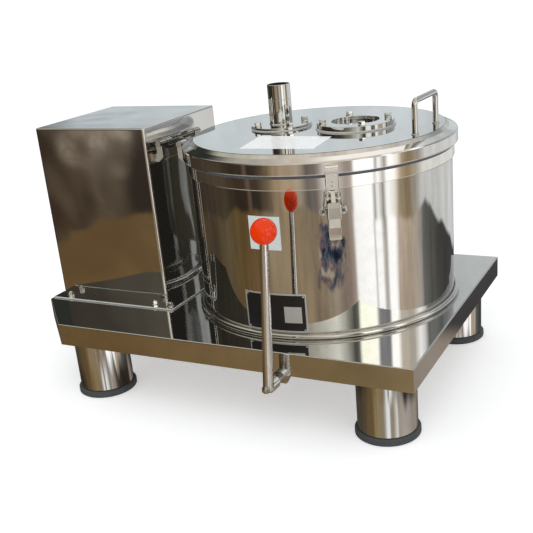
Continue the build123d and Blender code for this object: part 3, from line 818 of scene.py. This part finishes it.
@dataclass
class LatchTrim:
    """Screws, pivot ends, the wires and the eyes of one draw latch.

    A point is given by its radius about the drum, its shift along the wall and its height, and a pair
    by its radius and its height.
    """

    side: str
    angle: float
    half: float = 12.25
    screw: Pair = (292.0, 436.0)
    screw_shift: float = 6.0
    pin: Pair = (298.0, 490.0)
    pin_shifts: Pair = (-9.6, 8.1)
    strap_pin: Pair = (303.0, 477.0)
    strap_rivets: Pair = (503.0, 511.0)
    eye: Point = (291.6, 19.5, 450.0)
    eye_depth: float = 3.4
    rim: float = 0.9
    strap_edge: tuple[Pair, ...] = ((STRAP_FACE, 496.0), (STRAP_FACE, 526.0))
    lever_edge: tuple[Pair, ...] = (
        (313.2, 468.0), (314.6, 461.0), (314.9, 440.0), (313.4, 422.0), (311.0, 407.0))
    wire: tuple[Point, ...] = ((296.6, 15.4, 487.0), (297.4, 16.4, 470.0), (293.6, 19.2, 454.0))
    wire_radius: float = 1.2

    def rods(self, bm: bmesh.types.BMesh, radius: float, points: Sequence[Point]) -> None:
        """Add a thin rod with round joints through points beside the drum."""
        spots = [Vector(on_drum(self.angle, *point)) for point in points]
        for start, end in zip(spots, spots[1:]):
            way = end - start
            add_disc(bm, radius, way.length, seat(tuple(start), tuple(way.normalized())), 10)
            joint = Matrix.Translation(end)
            bmesh.ops.create_uvsphere(bm, u_segments=10, v_segments=8, radius=radius, matrix=joint)

    def rims(self, bm: bmesh.types.BMesh, edge: Sequence[Pair]) -> None:
        """Add a thin rod along both sides of a part as wide as the latch."""
        for side in (-1, 1):
            self.rods(bm, self.rim, [(radius, side * (self.half - 0.5), z) for radius, z in edge])

    def stand(self, radius: float, along: float, z: float, aside: bool = False) -> Matrix:
        """Return the matrix of a shape that points out of the wall here, or aside along it."""
        a = math.radians(self.angle)
        way = (-math.sin(a), math.cos(a), 0.0) if aside else (math.cos(a), math.sin(a), 0.0)
        return seat(on_drum(self.angle, radius, along, z), way)

    def build(self, bench: Workbench) -> None:
        """Make the trim that stays on the drum and the trim of the lever and of the strap."""
        radius, aside, high = self.eye
        bm = bmesh.new()
        for shift in (-self.screw_shift, self.screw_shift):
            place = self.stand(self.screw[0], shift, self.screw[1])
            add_disc(bm, 3.6, 2.0, place, 24, top=2.8, bevel=0.6)
        for shift in self.pin_shifts:
            add_disc(bm, 4.0, 1.5, self.stand(self.pin[0], shift, self.pin[1], aside=True), 20, bevel=0.4)
        for side in (-1, 1):
            self.rods(bm, self.wire_radius, [(r, side * along, z) for r, along, z in self.wire])
            add_ring(bm, 5.5, 1.3, self.stand(radius, side * aside, high), 28)
        bench.piece(bm, f"latch_screws_{self.side}", Body.BASE.value)
        # painted shade: dark discs set back in the latch eyes
        bm = bmesh.new()
        for side in (-1, 1):
            add_disc(bm, 3.15, 3.0, self.stand(radius - self.eye_depth, side * aside, high), 24)
        bench.piece(bm, f"latch_eye_shade_{self.side}", Body.BASE.value, PAINTED_SHADE_GREY)
        bm = bmesh.new()
        self.rims(bm, self.lever_edge)
        bench.piece(bm, f"latch_lever_rims_{self.side}", f"latch_lever_{self.side}")
        bm = bmesh.new()
        for shift in (-self.half - 1.6, self.half):
            place = self.stand(self.strap_pin[0], shift, self.strap_pin[1], aside=True)
            add_disc(bm, 3.6, 1.6, place, 20, bevel=0.4)
        for z in self.strap_rivets:
            add_disc(bm, 2.2, 0.8, self.stand(STRAP_FACE, 0.0, z), 16, bevel=0.3)
        self.rims(bm, self.strap_edge)
        bench.piece(bm, f"latch_rivets_{self.side}", f"latch_strap_{self.side}")


@dataclass
class WeldBeads:
    """Beads round the lid handle's feet and round the legs under the deck, and the lever's end nut."""

    handle_angle: float = -2.4
    handle_radius: float = 247.0
    handle_half: float = 61.5
    handle_bead: Pair = (6.3, 1.5)
    legs: tuple[Pair, ...] = ((399.4, -253.3), (399.4, 253.3), (-302.9, -253.3), (-302.9, 253.3))
    leg_bead: Pair = (62.2, 2.4)
    leg_height: float = 179.2
    lever_end: Point = (197.0, -379.5, 124.4)

    def build(self, bench: Workbench) -> None:
        """Make the beads and the nut."""
        bm = bmesh.new()
        for along in (-self.handle_half, self.handle_half):
            at = on_drum(self.handle_angle, self.handle_radius, along, LID_TOP + 0.6)
            add_ring(bm, *self.handle_bead, Matrix.Translation(at), 36)
        bench.piece(bm, "handle_welds", Body.LID.value)
        bm = bmesh.new()
        for x, y in self.legs:
            add_ring(bm, *self.leg_bead, Matrix.Translation((x, y, self.leg_height)), 72)
        bench.piece(bm, "leg_welds", Body.BASE.value, slot=Slot.SATIN)
        bm = bmesh.new()
        add_bolt(bm, seat(self.lever_end, (0, -1, 0)), 13.0, 5.0, 9.0, 1.6, 2.0)
        bench.piece(bm, "lever_end_nut", Body.BRAKE.value)


@dataclass(frozen=True)
class RoomBand:
    """One level of the room that the polished steel reflects, from a height upward.

    Each tone has an azimuth in degrees and a screen colour, where 255 is full. The lower edge of a
    bent band rises and falls with the azimuth.
    """

    start: float
    soft: float
    tones: tuple[tuple[float, int, int, int], ...]
    bent: bool = False


@dataclass(frozen=True)
class RoomSpot:
    """A soft spot in the room: its azimuth and height, and how far it reaches aside and upward."""

    azimuth: float
    height: float
    aside: float
    upward: float

    def distance(self, bench: NodeBench, turn: Any, height: Any) -> Any:
        """Return how far a direction is from the spot's middle, where its edge is at 1."""
        across = bench.math("ADD", turn, -math.radians(self.azimuth))
        across = bench.math("DIVIDE", across, math.radians(self.aside))
        above = bench.math("DIVIDE", bench.math("ADD", height, -self.height), self.upward)
        return bench.length(across, above)


ROOM = (
    RoomBand(-1.0, 0.01, (
        (-180, 68, 62, 48), (-160, 82, 70, 52), (-145, 92, 76, 54), (-128, 96, 78, 52),
        (-120, 112, 94, 64), (-115, 130, 113, 82), (-108, 130, 114, 86), (-95, 134, 120, 97),
        (-82, 134, 122, 102), (-78, 150, 146, 138), (-70, 214, 216, 220), (-62, 214, 216, 220),
        (-57, 152, 136, 122), (-48, 142, 131, 117), (-41, 176, 176, 166), (-34, 206, 204, 200),
        (-26, 150, 140, 132), (-8, 158, 150, 142), (14, 156, 150, 144), (36, 140, 132, 124),
        (60, 134, 126, 112), (73, 128, 118, 102), (79, 84, 80, 74), (120, 60, 57, 54), (180, 68, 62, 48))),
    RoomBand(-0.46, 0.012, (
        (-180, 40, 36, 30), (-160, 66, 54, 40), (-145, 84, 66, 46), (-132, 96, 76, 50),
        (-120, 108, 89, 60), (-106, 126, 108, 78), (-92, 132, 114, 84), (-82, 118, 104, 84),
        (-76, 150, 140, 124), (-70, 222, 222, 220), (-62, 96, 92, 88), (-58, 226, 226, 224),
        (-50, 196, 194, 190), (-44, 112, 106, 100), (-36, 150, 144, 136), (-22, 138, 130, 120),
        (-12, 76, 68, 60), (0, 52, 46, 40), (30, 38, 34, 30), (58, 44, 40, 34), (66, 126, 116, 106),
        (76, 130, 120, 112), (81, 90, 86, 80), (110, 58, 54, 50), (180, 40, 36, 30))),
    RoomBand(-0.40, 0.012, (
        (-180, 66, 55, 42), (-158, 84, 74, 54), (-145, 92, 74, 46), (-130, 96, 76, 49),
        (-121, 108, 88, 60), (-113, 133, 119, 97), (-92, 136, 119, 94), (-80, 130, 115, 94),
        (-74, 118, 104, 86), (-66, 132, 117, 98), (-58, 150, 138, 122), (-54, 132, 120, 108),
        (-47, 128, 112, 100), (-41.5, 150, 138, 128), (-39, 243, 242, 240), (-24, 253, 253, 252),
        (-22.5, 196, 192, 186), (-21, 250, 250, 249), (-17, 250, 250, 249), (-14.5, 166, 160, 152),
        (-12.2, 176, 170, 164), (-10.4, 252, 252, 252), (-3.5, 252, 252, 251), (0, 178, 162, 148),
        (10, 168, 151, 132), (21, 160, 151, 140), (26, 134, 130, 126), (28.5, 92, 92, 90),
        (40, 80, 80, 75), (54, 62, 61, 60), (80, 57, 56, 56), (180, 66, 55, 42))),
    RoomBand(-0.245, 0.005, (
        (-180, 56, 47, 38), (-160, 68, 58, 46), (-146, 50, 42, 33), (-134, 48, 38, 29),
        (-131.5, 58, 46, 36), (-130, 92, 80, 66), (-128.6, 84, 73, 60), (-127, 46, 39, 35),
        (-120, 50, 43, 36), (-108, 100, 86, 68), (-104, 142, 122, 98), (-84, 150, 137, 120),
        (-77, 90, 84, 80), (-69, 112, 104, 96), (-62, 186, 181, 176), (-55, 176, 170, 160),
        (-47, 136, 127, 120), (-41, 152, 140, 132), (-38.5, 246, 246, 244), (-24, 253, 253, 253),
        (-21.5, 140, 136, 130), (-19, 244, 244, 243), (-14, 142, 136, 128), (-10.4, 250, 250, 249),
        (-3, 222, 216, 208), (1, 150, 136, 114), (12, 122, 106, 82), (20, 150, 144, 136),
        (27, 188, 187, 185), (80, 187, 188, 187), (124, 62, 62, 58), (180, 56, 47, 38)), bent=True),
    RoomBand(0.02, 0.05, (
        (-180, 46, 43, 37), (-150, 46, 44, 39), (-134, 50, 46, 41), (-129, 74, 68, 56),
        (-122, 56, 52, 44), (-103, 94, 87, 76), (-84, 140, 134, 122), (-72, 178, 176, 166),
        (-61, 208, 208, 198), (-52, 150, 148, 138), (-45, 66, 68, 62), (-41, 84, 86, 80),
        (-38.5, 238, 240, 226), (-25, 246, 246, 238), (-22, 112, 114, 116), (-12, 100, 102, 104),
        (-10, 246, 246, 244), (-4, 250, 250, 248), (0, 182, 172, 160), (14, 166, 158, 148),
        (21, 236, 236, 234), (27, 214, 214, 216), (33, 150, 150, 148), (55, 142, 144, 145),
        (80, 160, 164, 165), (96, 167, 172, 173), (108, 179, 185, 188), (122, 174, 181, 184),
        (130.5, 160, 167, 171), (134, 70, 70, 64), (158, 110, 110, 100), (180, 46, 43, 37))),
    RoomBand(0.285, 0.015, (
        (-180, 46, 43, 37), (-134, 62, 58, 52), (-103, 130, 122, 108), (-72, 206, 204, 194),
        (-61, 240, 240, 230), (-52, 186, 184, 174), (-45, 84, 86, 80), (-41, 104, 106, 100),
        (-38.5, 296, 298, 276), (-25, 300, 300, 286), (-22, 150, 152, 154), (-12, 136, 138, 140),
        (-10, 300, 300, 298), (-4, 300, 300, 298), (0, 214, 204, 190), (14, 196, 188, 176),
        (21, 270, 270, 268), (27, 230, 230, 232), (33, 120, 120, 118), (55, 104, 106, 106),
        (80, 140, 144, 145), (100, 174, 178, 179), (120, 168, 172, 174), (126.5, 106, 112, 110),
        (129, 40, 44, 40), (158, 44, 44, 40), (180, 46, 43, 37))),
    RoomBand(0.56, 0.10, (
        (-180, 166, 166, 152), (-150, 176, 173, 159), (-60, 186, 177, 166), (20, 188, 180, 168),
        (55, 170, 169, 166), (86, 190, 188, 184), (94, 224, 222, 218), (110, 228, 224, 218),
        (118, 190, 181, 170), (135, 146, 142, 133), (180, 166, 166, 152))),
    RoomBand(0.86, 0.06, ((-180, 176, 172, 158), (-60, 184, 175, 166), (60, 190, 184, 174),
                          (180, 176, 172, 158))),
)


@dataclass
class Studio:
    """The camera, the pale floor, the soft lamps, and the room that only reflections see.

    The edge has shares of the full turn with how far the bent band's lower edge is moved there, where
    0.5 is not at all. The card has its two ends along X, its Y, and its two heights.
    """

    place: Point = (0.9550, -1.7128, 0.8931)
    right: Point = (0.89568, 0.43704, -0.08219)
    up: Point = (-0.08994, 0.35903, 0.92898)
    look: Point = (-0.43551, 0.82468, -0.36088)
    lens: float = 58.73
    film: float = 36.0
    shift: Pair = (-0.0311, 0.0711)
    floor_tone: float = 0.93
    floor_glow: float = 0.42
    daylight: Colour = (0.65, 0.665, 0.68)
    lamps: tuple[tuple[str, Point, float, float], ...] = (
        ("Key", (1.2, -2.2, 3.0), 2.4, 18.0), ("Fill", (-2.6, -0.8, 2.6), 2.4, 8.0))
    aim: Point = (0.0, 0.0, 0.3)
    bands: tuple[RoomBand, ...] = ROOM
    edge: tuple[Pair, ...] = (
        (0.0, 0.5), (0.428, 0.5), (0.436, 0.483), (0.545, 0.483), (0.572, 0.5), (0.588, 0.508),
        (0.622, 0.485), (0.683, 0.461), (0.722, 0.452), (0.764, 0.446), (0.806, 0.5), (1.0, 0.5))
    ripple: float = 0.010
    room_glow: float = 1.56
    crowd: RoomSpot = RoomSpot(-61.5, -0.302, 12.5, 0.042)
    clothes: tuple[tuple[float, int, int, int], ...] = (
        (0.38, 24, 28, 36), (0.46, 52, 62, 78), (0.51, 88, 88, 92), (0.535, 106, 72, 76),
        (0.56, 96, 92, 92), (0.64, 150, 138, 122))
    gleam: RoomSpot = RoomSpot(-128.2, -0.135, 3.6, 0.045)
    gleam_tone: tuple[int, int, int] = (140, 129, 114)
    card: tuple[float, float, float, float, float] = (-0.2, 0.12, 0.42, 0.0, 0.465)
    card_glow: Colour = (0.078, 0.069, 0.049)

    def hang_camera(self) -> None:
        """Set the camera that sees the object as the photograph does."""
        data = bpy.data.cameras.new("Camera")
        data.lens, data.sensor_width = self.lens, self.film
        data.shift_x, data.shift_y = self.shift
        obj = bpy.data.objects.new("Camera", data)
        turn = Matrix((self.right, self.up, tuple(-v for v in self.look))).transposed()
        obj.matrix_world = Matrix.Translation(self.place) @ turn.to_4x4()
        bpy.context.scene.collection.objects.link(obj)
        bpy.context.scene.camera = obj

    def lay_floor(self) -> None:
        """Lay a pale floor that keeps the object's soft shadow."""
        material, bench, shader = new_surface("Pale floor")
        bench.set(shader, {
            "Base Color": (self.floor_tone, self.floor_tone, self.floor_tone, 1.0), "Roughness": 0.9,
            "Specular IOR Level": 0.0, "Emission Color": (*WHITE, 1.0),
            "Emission Strength": bench.math("MULTIPLY", bench.seen(), self.floor_glow)})
        bm = bmesh.new()
        bmesh.ops.create_circle(bm, cap_ends=True, segments=64, radius=25.0)
        self._stage_piece(bm, "studio_floor", material).visible_glossy = False

    def light_world(self) -> None:
        """Light softly from all round and show white behind the object."""
        world = bpy.data.worlds.new("Studio")
        bpy.context.scene.world = world
        world.use_nodes = True
        bench = NodeBench(world.node_tree)
        back = world.node_tree.nodes["Background"]
        bench.join(bench.blend(bench.seen(), self.daylight, WHITE), back.inputs["Color"])

    def build_room(self) -> None:
        """Put the room of soft upright tones far away, where only reflections see it."""
        material, bench, shader = new_surface("Room tones")
        material.node_tree.nodes.remove(shader)
        unit = bench.add("VectorMath", operation="NORMALIZE")
        bench.join(bench.add("TexCoord").outputs["Object"], unit.inputs[0])
        way = unit.outputs[0]
        x, y, z = bench.parts(way)
        turn = bench.math("ARCTAN2", y, x)
        ripple = bench.sway(way, 4.0, 0.5, self.ripple)
        share = bench.math("ADD", bench.math("ADD", bench.math("DIVIDE", turn, 2 * math.pi), 0.5), ripple)
        height = bench.math("ADD", z, bench.math("MULTIPLY", ripple, 3.0))
        colour = self._levels(bench, share, height)
        colour = self._onlookers(bench, turn, z, colour)
        gleam = bench.span(self.gleam.distance(bench, turn, height), 1.2, 0.2)
        colour = bench.blend(gleam, colour, tone(*self.gleam_tone))
        glow = bench.add("Emission")
        bench.set(glow, {"Color": self._mottled(bench, way, colour), "Strength": self.room_glow})
        bench.join(glow.outputs[0], material.node_tree.nodes["Material Output"].inputs["Surface"])
        bm = bmesh.new()
        bmesh.ops.create_uvsphere(bm, u_segments=64, v_segments=32, radius=40.0)
        self._reflect_only(self._stage_piece(bm, "reflection_room", material))

    def _levels(self, bench: NodeBench, share: Any, height: Any) -> Any:
        """Lay the room's bands over one another, from the lowest up, by the share of the full turn."""
        edge = bench.ramp(share, [(at, (v, v, v)) for at, v in self.edge])
        bent = bench.math("SUBTRACT", height, bench.math("SUBTRACT", edge, 0.5))
        colour = None
        for band in self.bands:
            tones = bench.ramp(share, [((azimuth + 180) / 360, tone(*rgb)) for azimuth, *rgb in band.tones])
            if colour is None:
                colour = tones
                continue
            step = bench.span(bent if band.bent else height, band.start - band.soft, band.start + band.soft)
            colour = bench.blend(step, colour, tones)
        return colour

    def _onlookers(self, bench: NodeBench, turn: Any, height: Any, colour: Any) -> Any:
        """Mix in the small patch of mixed dark colours that stands in the room before the front latch."""
        flat = bench.add("CombineXYZ")
        bench.join(turn, flat.inputs[0])
        bench.join(bench.math("MULTIPLY", height, 5.0), flat.inputs[1])
        far = self.crowd.distance(bench, turn, height)
        spot = bench.span(bench.math("ADD", far, bench.sway(flat.outputs[0], 6.5, 4.0, 2.4)), 1.05, 0.65)
        clothes = bench.ramp(
            bench.noise(flat.outputs[0], 8.5, 4.0, 0.62), [(at, tone(*rgb)) for at, *rgb in self.clothes])
        return bench.blend(spot, colour, clothes)

    @staticmethod
    def _mottled(bench: NodeBench, way: Any, colour: Any) -> Any:
        """Lighten and darken the room's darker tones in soft patches, and leave its bright ones even."""
        grey = bench.add("RGBToBW")
        bench.join(colour, grey.inputs[0])
        patches = bench.span(bench.noise(way, 9.0, 4.0, 0.6), 0.25, 0.75, 0.80, 1.16)
        shade = bench.blend(bench.span(grey.outputs[0], 0.35, 0.75), patches, WHITE)
        mixed = bench.add("VectorMath", operation="MULTIPLY")
        bench.join(colour, mixed.inputs[0])
        bench.join(shade, mixed.inputs[1])
        return mixed.outputs[0]

    def stand_card(self) -> None:
        """Stand a dark card behind the gap, where only reflections see it, as a studio would."""
        material, bench, shader = new_surface("Dark card")
        bench.set(shader, {
            "Base Color": (0.0, 0.0, 0.0, 1.0), "Specular IOR Level": 0.0,
            "Emission Color": (*self.card_glow, 1.0), "Emission Strength": 1.0})
        x0, x1, y, z0, z1 = self.card
        place = Matrix.Translation(((x0 + x1) / 2, y, (z0 + z1) / 2)) @ Matrix.Rotation(math.pi / 2, 4, "X")
        place = place @ Matrix.Diagonal((x1 - x0, z1 - z0, 1.0, 1.0))
        bm = bmesh.new()
        bmesh.ops.create_grid(bm, x_segments=1, y_segments=1, size=0.5, matrix=place)
        self._reflect_only(self._stage_piece(bm, "dark_card", material))

    def hang_lamps(self) -> None:
        """Hang the soft lamps that shape the shadows."""
        for name, at, size, power in self.lamps:
            data = bpy.data.lights.new(name, "AREA")
            data.size, data.energy = size, power
            lamp = bpy.data.objects.new(name, data)
            aim = Vector(self.aim) - Vector(at)
            lamp.matrix_world = Matrix.Translation(at) @ aim.to_track_quat("-Z", "Y").to_matrix().to_4x4()
            lamp.visible_glossy = False
            bpy.context.scene.collection.objects.link(lamp)

    @staticmethod
    def _stage_piece(bm: bmesh.types.BMesh, name: str, material: bpy.types.Material) -> bpy.types.Object:
        """Make an object that is not part of the product."""
        obj = new_object(bm, name, material)
        return obj

    @staticmethod
    def _reflect_only(obj: bpy.types.Object) -> None:
        """Hide an object from everything but reflections."""
        obj.visible_camera = False
        obj.visible_diffuse = False
        obj.visible_shadow = False
        obj.visible_transmission = False
        obj.visible_volume_scatter = False

    def build(self) -> None:
        """Set up the whole studio."""
        bpy.context.scene.view_settings.view_transform = "Standard"
        self.hang_camera()
        self.lay_floor()
        self.light_world()
        self.build_room()
        self.stand_card()
        self.hang_lamps()


def main() -> None:
    """Load the frame, set up the studio and dress each sub-assembly in turn."""
    logging.basicConfig(level=logging.INFO, format="%(name)s: %(message)s")
    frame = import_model()
    Studio().build()
    bench = Workbench(frame)
    bench.dress_nodes()
    assemblies: Sequence[Any] = (
        Fasteners(), Seals(), DrumPlates(), LidFilm(), LatchTrim("front", -61.8), LatchTrim("back", 61.8),
        WeldBeads())
    for assembly in assemblies:
        assembly.build(bench)


if __name__ == "__main__":
    main()
